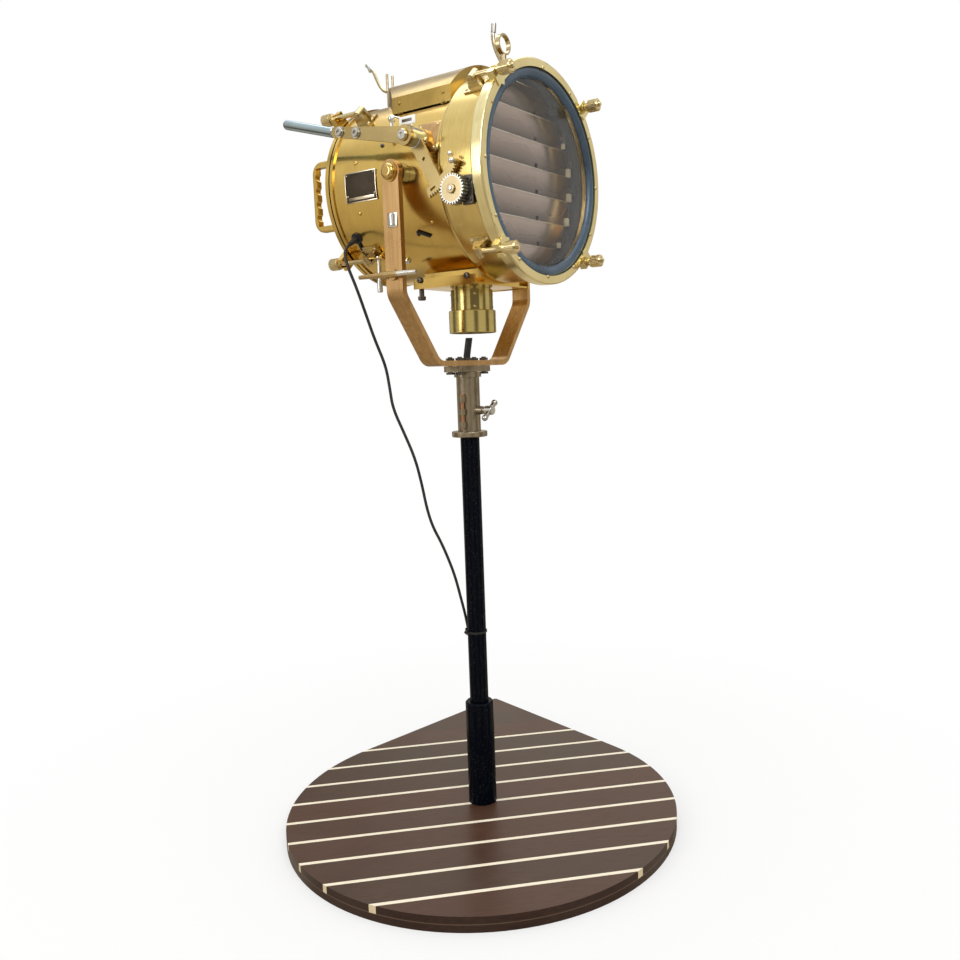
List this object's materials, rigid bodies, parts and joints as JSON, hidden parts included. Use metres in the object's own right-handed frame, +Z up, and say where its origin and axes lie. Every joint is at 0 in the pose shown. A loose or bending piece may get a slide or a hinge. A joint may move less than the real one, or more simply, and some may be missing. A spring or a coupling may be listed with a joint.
{
  "type": "signal searchlight",
  "caption": "Round signal lamp with a lever-worked louvre shutter, on a forked yoke and floor pole with a pointed plank base.",
  "frame": {"origin": "on the floor at the pole's axis, on the underside of the base", "axes": "+Z up along the pole; the beam leaves along -Y; +X to the lamp's left as seen from its front, with the signal lever on the -X side"},
  "size_m": [0.7861, 0.7, 1.3659],
  "materials": {
    "dark_wood": "oiled",
    "pale_wood": "oiled",
    "black_enamel": "gloss",
    "nickel_bronze": "polished",
    "steel": "satin",
    "copper_bronze": "satin",
    "polished_brass": "polished",
    "sight_brass": "polished",
    "slate_bezel": "satin",
    "clear_glass": "clear",
    "black_rubber": "matte",
    "lead_sheath": "matte",
    "silvered": "mirror",
    "vane_metal": "polished",
    "grey_enamel": "satin",
    "lever_nickel": "satin",
    "blued_steel": "polished",
    "dark_plate": "satin",
    "porcelain": "gloss"
  },
  "bodies": {
    "stand": {"base_board": "dark_wood", "deck_planks": "dark_wood", "deck_strips": "pale_wood", "pole": "black_enamel", "pole_sleeve": "black_enamel", "stanchion_socket": "nickel_bronze", "socket_hinge_pin": "nickel_bronze"},
    "socket_clamp": {"socket_clamp_screw": "nickel_bronze"},
    "yoke": {"yoke": "copper_bronze", "yoke_spindle": "nickel_bronze", "yoke_fasteners": "steel", "base_cable": "black_rubber", "lead": "lead_sheath", "lead_hank": "lead_sheath", "lead_plug": "lead_sheath"},
    "elevation_lock": {"elevation_lock": "steel"},
    "lamp_head": {"drum_shell": "polished_brass", "front_housing": "polished_brass", "rear_gasket": "black_rubber", "rear_door": "polished_brass", "door_ring": "polished_brass", "front_glass": "clear_glass", "bezel_ring": "slate_bezel", "shutter_frame": "grey_enamel", "lever_bracket": "steel", "clamp_lugs": "polished_brass", "vent_hood": "polished_brass", "trunnions": "polished_brass", "reflector": "silvered", "lamp_box": "polished_brass", "lamp_base_housing": "polished_brass", "nameplate": "dark_plate", "lead_gland": "black_rubber", "front_sight": "sight_brass", "rear_sight": "sight_brass", "rear_handles": "polished_brass", "lead_tail": "lead_sheath"},
    "focus": {"focus_screw": "polished_brass", "lamp_holder": "porcelain", "bulb": "clear_glass"},
    "signal_lever": {"signal_lever": "lever_nickel", "lever_handle": "blued_steel", "lever_bolts": "steel"},
    "vane_1": {"vane_1": "vane_metal"},
    "vane_2": {"vane_2": "vane_metal"},
    "vane_3": {"vane_3": "vane_metal"},
    "vane_4": {"vane_4": "vane_metal"},
    "vane_5": {"vane_5": "vane_metal", "shutter_pinion": "lever_nickel"},
    "vane_6": {"vane_6": "vane_metal"},
    "vane_7": {"vane_7": "vane_metal"},
    "link_bar": {"link_bar": "vane_metal"},
    "front_clamp_right_upper": {"front_clamp_right_upper": "polished_brass"},
    "rear_clamp_right_upper": {"rear_clamp_right_upper": "polished_brass"},
    "front_clamp_left_upper": {"front_clamp_left_upper": "polished_brass"},
    "rear_clamp_left_upper": {"rear_clamp_left_upper": "polished_brass"},
    "front_clamp_left_lower": {"front_clamp_left_lower": "polished_brass"},
    "rear_clamp_left_lower": {"rear_clamp_left_lower": "polished_brass"},
    "front_clamp_right_lower": {"front_clamp_right_lower": "polished_brass"},
    "rear_clamp_right_lower": {"rear_clamp_right_lower": "polished_brass"}
  },
  "joints": [
    {"name": "train", "type": "hinge", "parent": "stand", "child": "yoke", "pos_m": [0, 0, 0.78], "axis": [0, 0, 1], "range_deg": [-170, 170]},
    {"name": "socket_clamp_turn", "type": "hinge", "parent": "stand", "child": "socket_clamp", "pos_m": [0, 0, 0.741], "axis": [0, -1, 0], "range_deg": [-90, 90]},
    {"name": "elevation", "type": "hinge", "parent": "yoke", "child": "lamp_head", "pos_m": [0, 0, 1.116], "axis": [1, 0, 0], "range_deg": [-30, 30]},
    {"name": "elevation_lock_turn", "type": "hinge", "parent": "yoke", "child": "elevation_lock", "pos_m": [-0.18, 0, 0.961], "axis": [1, 0, 0], "range_deg": [0, 60]},
    {"name": "focus_slide", "type": "slide", "parent": "lamp_head", "child": "focus", "axis": [0, -1, 0], "range_m": [-0.008, 0.008]},
    {"name": "lever", "type": "hinge", "parent": "lamp_head", "child": "signal_lever", "pos_m": [-0.175, -0.04517, 1.16024], "axis": [1, 0, 0], "range_deg": [-19, 0], "stiffness_Nm_per_rad": 1.5, "springref_deg": 34.38},
    {"name": "vane_1_turn", "type": "hinge", "parent": "lamp_head", "child": "vane_1", "pos_m": [0, -0.122, 1.242], "axis": [1, 0, 0], "range_deg": [0, 85.5]},
    {"name": "vane_2_turn", "type": "hinge", "parent": "lamp_head", "child": "vane_2", "pos_m": [0, -0.122, 1.2], "axis": [1, 0, 0], "range_deg": [0, 85.5]},
    {"name": "vane_3_turn", "type": "hinge", "parent": "lamp_head", "child": "vane_3", "pos_m": [0, -0.122, 1.158], "axis": [1, 0, 0], "range_deg": [0, 85.5]},
    {"name": "vane_4_turn", "type": "hinge", "parent": "lamp_head", "child": "vane_4", "pos_m": [0, -0.122, 1.116], "axis": [1, 0, 0], "range_deg": [0, 85.5]},
    {"name": "vane_5_turn", "type": "hinge", "parent": "lamp_head", "child": "vane_5", "pos_m": [0, -0.122, 1.074], "axis": [1, 0, 0], "range_deg": [0, 85.5]},
    {"name": "vane_6_turn", "type": "hinge", "parent": "lamp_head", "child": "vane_6", "pos_m": [0, -0.122, 1.032], "axis": [1, 0, 0], "range_deg": [0, 85.5]},
    {"name": "vane_7_turn", "type": "hinge", "parent": "lamp_head", "child": "vane_7", "pos_m": [0, -0.122, 0.99], "axis": [1, 0, 0], "range_deg": [0, 85.5]},
    {"name": "link_turn", "type": "hinge", "parent": "vane_4", "child": "link_bar", "pos_m": [0.045, -0.11411, 1.09982], "axis": [1, 0, 0], "range_deg": [-85.5, 0]},
    {"name": "front_clamp_right_upper_swing", "type": "hinge", "parent": "lamp_head", "child": "front_clamp_right_upper", "pos_m": [0.12728, -0.128, 1.24328], "axis": [-0.7071, 0, 0.7071], "range_deg": [0, 75]},
    {"name": "rear_clamp_right_upper_swing", "type": "hinge", "parent": "lamp_head", "child": "rear_clamp_right_upper", "pos_m": [0.11879, 0.112, 1.23479], "axis": [0.7071, 0, -0.7071], "range_deg": [0, 60]},
    {"name": "front_clamp_left_upper_swing", "type": "hinge", "parent": "lamp_head", "child": "front_clamp_left_upper", "pos_m": [-0.12728, -0.128, 1.24328], "axis": [-0.7071, 0, -0.7071], "range_deg": [0, 75]},
    {"name": "rear_clamp_left_upper_swing", "type": "hinge", "parent": "lamp_head", "child": "rear_clamp_left_upper", "pos_m": [-0.11879, 0.112, 1.23479], "axis": [0.7071, 0, 0.7071], "range_deg": [0, 60]},
    {"name": "front_clamp_left_lower_swing", "type": "hinge", "parent": "lamp_head", "child": "front_clamp_left_lower", "pos_m": [-0.12728, -0.128, 0.98872], "axis": [0.7071, 0, -0.7071], "range_deg": [0, 75]},
    {"name": "rear_clamp_left_lower_swing", "type": "hinge", "parent": "lamp_head", "child": "rear_clamp_left_lower", "pos_m": [-0.11879, 0.112, 0.99721], "axis": [-0.7071, 0, 0.7071], "range_deg": [0, 60]},
    {"name": "front_clamp_right_lower_swing", "type": "hinge", "parent": "lamp_head", "child": "front_clamp_right_lower", "pos_m": [0.12728, -0.128, 0.98872], "axis": [0.7071, 0, 0.7071], "range_deg": [0, 75]},
    {"name": "rear_clamp_right_lower_swing", "type": "hinge", "parent": "lamp_head", "child": "rear_clamp_right_lower", "pos_m": [0.11879, 0.112, 0.99721], "axis": [-0.7071, 0, -0.7071], "range_deg": [0, 60]}
  ],
  "couplings": [
    {"joint": "vane_1_turn", "follows": "lever", "ratio": -4.5},
    {"joint": "vane_2_turn", "follows": "lever", "ratio": -4.5},
    {"joint": "vane_3_turn", "follows": "lever", "ratio": -4.5},
    {"joint": "vane_4_turn", "follows": "lever", "ratio": -4.5},
    {"joint": "vane_5_turn", "follows": "lever", "ratio": -4.5},
    {"joint": "vane_6_turn", "follows": "lever", "ratio": -4.5},
    {"joint": "vane_7_turn", "follows": "lever", "ratio": -4.5},
    {"joint": "link_turn", "follows": "lever", "ratio": 4.5}
  ]
}
